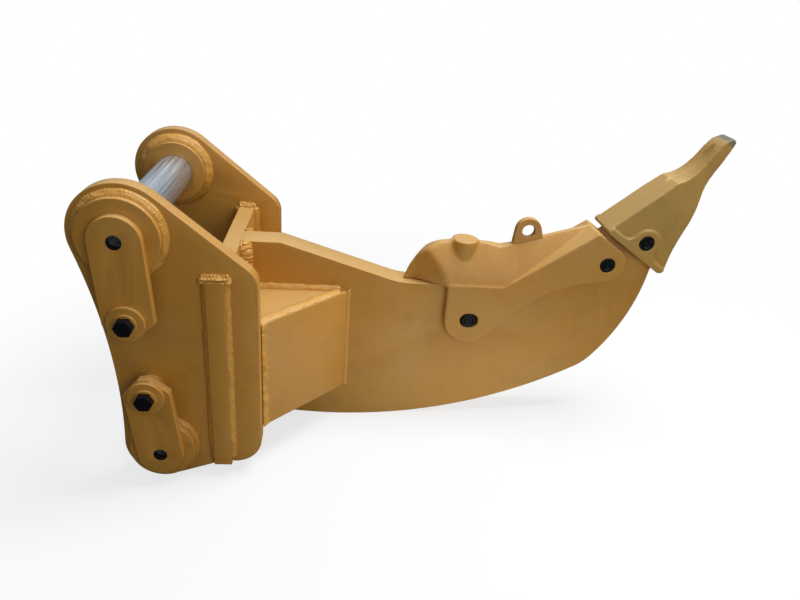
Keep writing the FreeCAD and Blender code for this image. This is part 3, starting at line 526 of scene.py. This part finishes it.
def crossPlateBeads():
    bm = bmesh.new()
    leg = cross["leg"] / 1000
    inner = cross["innerLeg"] / 1000
    topLeg = cross["topLeg"] / 1000
    for way in (-1, 1):
        out = Vector((0, way, 0))
        outY = way * cross["plateOut"]
        inY = way * cross["plateIn"]
        for x, side in ((cross["front"], forward), (cross["rear"], back)):
            runBead(bm, drawn(x, outY, cross["low"]), drawn(x, outY, cross["top"] + cross["pastTop"]),
                    side, out, leg, leg, beads["rope"], x + way)
            runBead(bm, drawn(x, inY, cross["low"]), drawn(x, inY, cross["top"]), side, -out, inner, inner,
                    beads["plain"], x - way)
        for cap in cross["caps"]:
            height = cross["top"] + cap["lift"]
            runBead(bm, drawn(cross["front"] - cap["reach"], outY, height),
                    drawn(cross["rear"] + cap["reach"], outY, height), up, out, leg * 0.8, leg * 1.2,
                    beads["blob"], way * cap["seed"])
        runBead(bm, drawn(cross["front"] - cross["topReach"], inY, cross["top"]),
                drawn(cross["rear"] + cross["topReach"], inY, cross["top"]), up, -out, topLeg, topLeg,
                beads["blob"], way * 7)
    newPiece("cross_plate_beads", bm, "painted_weld", ["cross_plate_welds"])


crossPlateBeads()
print("cross plate welds made")

# The lump ends a seam: where it starts from the seam's end, how far it runs and its two legs.
shankSeam = {"x": 201.0, "halfThick": 35.0, "legX": 29.04, "legY": 25.52, "top": -88.0, "low": -540.0,
             "lumpX": 4.0, "lumpDown": 3.0, "lumpBack": 16.0, "lumpOut": 3.0, "lumpLegOut": 18.0,
             "lumpLegUp": 6.0}


def shankBeads():
    # the heavy seams are woven from side to side, and end in a lump at the top
    bm = bmesh.new()
    for way in (-1, 1):
        out = Vector((0, way, 0))
        x = shankSeam["x"]
        y = way * shankSeam["halfThick"]
        top = shankSeam["top"]
        runBead(bm, drawn(x, y, shankSeam["low"]), drawn(x, y, top), back, out, shankSeam["legX"] / 1000,
                shankSeam["legY"] / 1000, beads["weave"], 11 + way)
        lump = drawn(x + shankSeam["lumpX"], y, top - shankSeam["lumpDown"])
        run = back * (shankSeam["lumpBack"] / 1000) + out * (shankSeam["lumpOut"] / 1000)
        runBead(bm, lump, lump + run, out, up, shankSeam["lumpLegOut"] / 1000,
                shankSeam["lumpLegUp"] / 1000, beads["blob"], 17 + way)
    newPiece("shank_seam_beads", bm, "painted_weld", ["shank_welds"])


shankBeads()
print("shank seams made")

# The gusset's slanted plate stands at 45 degrees from the side plate to the shank. Each pair
# of legs belongs to one bead: along the slanted plate's top, the cap on the shank, the
# slanted plate on the side plate, and the slanted plate on the shank.
gusset = {"plateY": 225.0, "shankY": 35.0, "faceX": 274.5, "thick": 20.0, "top": -210.0, "capTop": -207.0,
          "capLow": -485.0, "notchX": 237.0, "plateX": 270.5, "slantLegs": (18.0, 7.5),
          "capLegs": (12.5, 11.5), "plateLegs": (7.5, 21.0), "shankLegs": (3.0, 10.0)}


def gussetFace(y, depth):
    # how far back the slanted plate is at y, at a depth under its outer face
    return gusset["faceX"] + gusset["plateY"] - y - depth * math.sqrt(2)


def gussetBead(bm, start, end, sideA, sideB, legs, look, seed):
    runBead(bm, drawn(*start), drawn(*end), sideA, sideB, legs[0] / 1000, legs[1] / 1000, beads[look], seed)


def gussetBeads():
    bm = bmesh.new()
    for way in (-1, 1):
        out = Vector((0, way, 0))
        outwards = (back + out).normalized()
        inwards = (back - out).normalized()
        plateY = gusset["plateY"]
        shankY = gusset["shankY"]
        thick = gusset["thick"]
        capTop = gusset["capTop"]
        capLow = gusset["capLow"]
        nearX = gussetFace(shankY, 0)
        gussetBead(bm, (gussetFace(plateY - 3, thick), way * (plateY - 3), gusset["top"]),
                   (gussetFace(shankY + 1, thick), way * (shankY + 1), gusset["top"]), outwards, up,
                   gusset["slantLegs"], "rope", 41 + way)
        gussetBead(bm, (gusset["notchX"], way * shankY, capTop),
                   (gussetFace(shankY, thick) + 6, way * shankY, capTop), out, up, gusset["capLegs"],
                   "plain", 51 + way)
        gussetBead(bm, (gusset["plateX"], way * plateY, capLow),
                   (gusset["plateX"], way * plateY, capTop - 1), out, inwards, gusset["plateLegs"], "blob",
                   61 + way)
        gussetBead(bm, (nearX, way * shankY, capLow), (nearX, way * shankY, capTop + 2), back, -inwards,
                   gusset["shankLegs"], "seam", 71 + way)
    newPiece("gusset_beads", bm, "painted_weld", ["gusset_welds"])


gussetBeads()
print("gusset welds made")

smallPins = ("protector_rear_pin", "protector_front_pin", "tooth_pin")
pinEnd = {"chamferMm": 2.0, "dishRMm": 13.0, "dishDeepMm": 3.5, "drillRMm": 3.2, "edgeMm": 0.4, "steps": 64}


def dishedPin(node):
    # the same pin with the dished and centre-drilled ends of a drive pin
    low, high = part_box(node)
    centre = (Vector(low) + Vector(high)) / 2
    radius = (high[0] - low[0]) / 2
    half = (high[1] - low[1]) / 2
    chamfer = pinEnd["chamferMm"] / 1000
    dish = pinEnd["dishRMm"] / 1000
    deep = pinEnd["dishDeepMm"] / 1000
    drill = pinEnd["drillRMm"] / 1000
    side = [(radius, half - chamfer), (radius - chamfer, half), (dish, half), (dish - deep, half - deep),
            (drill, half - deep), (0, half - deep - drill)]
    profile = [(r, y) for r, y in reversed(side)]
    profile += [(r, -y) for r, y in side]
    profile = [(0, profile[0][1])] + profile[1:-1] + [(0, profile[-1][1])]
    bm = bmesh.new()
    verts = [bm.verts.new(centre + Vector((r, y, 0))) for r, y in profile]
    for i in range(len(verts) - 1):
        bm.edges.new((verts[i], verts[i + 1]))
    bmesh.ops.spin(bm, geom=bm.verts[:] + bm.edges[:], cent=centre, axis=(0, 1, 0), angle=2 * math.pi,
                   steps=pinEnd["steps"], use_merge=True)
    bmesh.ops.remove_doubles(bm, verts=bm.verts, dist=0.00001)
    bmesh.ops.recalc_face_normals(bm, faces=bm.faces)
    piece = newPiece(node + "_dished", bm, slotOf[node], [node])
    softenEdges(piece, pinEnd["edgeMm"], 2)


for node in smallPins:
    dishedPin(node)
print("small pins made")

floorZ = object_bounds()[0][2]
# The floor takes a shadow near a place on it, and from there fades to plain white. Only the
# object, not the camera, meets its darker tone and the glow in front of the shank.
stageLook = {"reachM": 30.0, "colour": "#f6f6f5", "bounce": "#69645b", "paperShare": 0.27,
             "shadeAt": (0.6, 0.0), "shadeFromM": 0.8, "shadeToM": 1.7, "glow": "#f3f6ea", "glowLevel": 1.3,
             "glowAt": (0.8, -0.42), "glowReachM": 0.72}


def distanceFrom(tree, place, spot):
    # metres from a spot on the floor
    aside = addNode(tree, "ShaderNodeVectorMath", {"operation": "SUBTRACT", 1: (*spot, floorZ)}, {0: place})
    off = addNode(tree, "ShaderNodeVectorMath", {"operation": "LENGTH"}, {0: aside.outputs[0]})
    return off.outputs["Value"]


def layFloor():
    bm = bmesh.new()
    bmesh.ops.create_circle(bm, cap_ends=True, segments=64, radius=stageLook["reachM"])
    bmesh.ops.translate(bm, verts=bm.verts, vec=(0, 0, floorZ))
    mesh = bpy.data.meshes.new("studioFloor")
    bm.to_mesh(mesh)
    bm.free()
    floor = bpy.data.objects.new("studioFloor", mesh)
    bpy.context.scene.collection.objects.link(floor)
    material, tree = newMaterial("paperFloor")
    # bright paper that takes a soft shadow near the object and is plain white farther off
    place = addNode(tree, "ShaderNodeTexCoord").outputs["Object"]
    fade = addNode(tree, "ShaderNodeMapRange",
                   {"interpolation_type": "SMOOTHSTEP", "From Min": stageLook["shadeFromM"],
                    "From Max": stageLook["shadeToM"], "To Min": 1 - stageLook["paperShare"]},
                   {"Value": distanceFrom(tree, place, stageLook["shadeAt"])})
    rays = addNode(tree, "ShaderNodeLightPath")
    tone = addNode(tree, "ShaderNodeMix",
                   {"data_type": "RGBA", 6: linearColour(stageLook["bounce"]),
                    7: linearColour(stageLook["colour"])}, {0: rays.outputs["Is Camera Ray"]})
    # the bright patch lights the shank's belly and is seen in the paint only
    glow = addNode(tree, "ShaderNodeMapRange",
                   {"interpolation_type": "SMOOTHSTEP", "From Min": 0.0, "From Max": stageLook["glowReachM"],
                    "To Min": stageLook["glowLevel"], "To Max": 0.0},
                   {"Value": distanceFrom(tree, place, stageLook["glowAt"])})
    unseen = addNode(tree, "ShaderNodeMath", {"operation": "SUBTRACT", 0: 1.0},
                     {1: rays.outputs["Is Camera Ray"]})
    glowing = addNode(tree, "ShaderNodeMath", {"operation": "MULTIPLY"},
                      {0: glow.outputs["Result"], 1: unseen.outputs["Value"]})
    bright = addNode(tree, "ShaderNodeEmission", {"Color": linearColour(stageLook["glow"])},
                     {"Strength": glowing.outputs["Value"]})
    plain = addNode(tree, "ShaderNodeBsdfDiffuse", {}, {"Color": tone.outputs[2]})
    paper = addNode(tree, "ShaderNodeAddShader", {}, {0: plain.outputs[0], 1: bright.outputs[0]})
    white = addNode(tree, "ShaderNodeEmission", {}, {"Strength": rays.outputs["Is Camera Ray"]})
    seen = addNode(tree, "ShaderNodeMath", {"operation": "MULTIPLY"},
                   {0: fade.outputs["Result"], 1: rays.outputs["Is Camera Ray"]})
    mixed = addNode(tree, "ShaderNodeMixShader", {}, {0: seen.outputs["Value"], 1: paper.outputs[0],
                                                      2: white.outputs[0]})
    addNode(tree, "ShaderNodeOutputMaterial", {}, {"Surface": mixed.outputs[0]})
    mesh.materials.append(material)


layFloor()

skyLook = {"colour": "#e6eefb", "low": 0.09, "high": 0.42, "fromUp": 0.0, "toUp": 0.8, "sheen": 1.2}


def lightWorld():
    # a pale sky over darker surroundings lights the object, and the camera sees white
    world = bpy.data.worlds.new("studio")
    bpy.context.scene.world = world
    world.use_nodes = True
    tree = world.node_tree
    tree.nodes.clear()
    rays = addNode(tree, "ShaderNodeLightPath")
    place = addNode(tree, "ShaderNodeTexCoord").outputs["Generated"]
    upwards = addNode(tree, "ShaderNodeSeparateXYZ", {}, {0: place})
    sky = addNode(tree, "ShaderNodeMapRange",
                  {"interpolation_type": "SMOOTHSTEP", "From Min": skyLook["fromUp"],
                   "From Max": skyLook["toUp"], "To Min": skyLook["low"], "To Max": skyLook["high"]},
                  {"Value": upwards.outputs["Z"]})
    # what polished steel mirrors is brighter than the light that the sky gives
    sheen = addNode(tree, "ShaderNodeMapRange", {"To Min": 1.0, "To Max": 1 + skyLook["sheen"]},
                    {"Value": rays.outputs["Is Glossy Ray"]})
    lit = addNode(tree, "ShaderNodeMath", {"operation": "MULTIPLY"},
                  {0: sky.outputs["Result"], 1: sheen.outputs["Result"]})
    level = addNode(tree, "ShaderNodeMapRange", {"To Max": 1.0},
                    {"Value": rays.outputs["Is Camera Ray"], "To Min": lit.outputs["Value"]})
    tone = addNode(tree, "ShaderNodeMix", {"data_type": "RGBA", 6: linearColour(skyLook["colour"]),
                                            7: (1, 1, 1, 1)}, {0: rays.outputs["Is Camera Ray"]})
    air = addNode(tree, "ShaderNodeBackground", {},
                  {"Color": tone.outputs[2], "Strength": level.outputs["Result"]})
    addNode(tree, "ShaderNodeOutputWorld", {}, {"Surface": air.outputs[0]})


lamps = {
    "overhead": {"place": (1.9, 0.1, 2.8), "target": (0.4, 0.0, -0.2), "size": 1.6, "power": 102.0},
    "sideBox": {"place": (1.7, -2.6, 0.7), "target": (0.6, 0.0, -0.3), "size": 1.6, "power": 21.0},
}


def hangLamps():
    for name, lamp in lamps.items():
        light = bpy.data.lights.new(name, "AREA")
        light.size = lamp["size"]
        light.energy = lamp["power"]
        holder = bpy.data.objects.new(name, light)
        holder.location = lamp["place"]
        aim = Vector(lamp["target"]) - Vector(lamp["place"])
        holder.rotation_euler = aim.to_track_quat("-Z", "Y").to_euler()
        bpy.context.scene.collection.objects.link(holder)


lightWorld()
hangLamps()
print("floor and lamps placed")

viewpoint = {"place": (0.46822, -1.55519, 0.48733), "turnDeg": (63.747, -0.860, -3.634), "lensMm": 30.42}


def placeCamera():
    lens = bpy.data.cameras.new("photoCamera")
    lens.sensor_width = 36
    lens.lens = viewpoint["lensMm"]
    camera = bpy.data.objects.new("photoCamera", lens)
    camera.location = viewpoint["place"]
    camera.rotation_euler = [math.radians(angle) for angle in viewpoint["turnDeg"]]
    bpy.context.scene.collection.objects.link(camera)
    bpy.context.scene.camera = camera


placeCamera()
bpy.context.scene.view_settings.view_transform = "Standard"
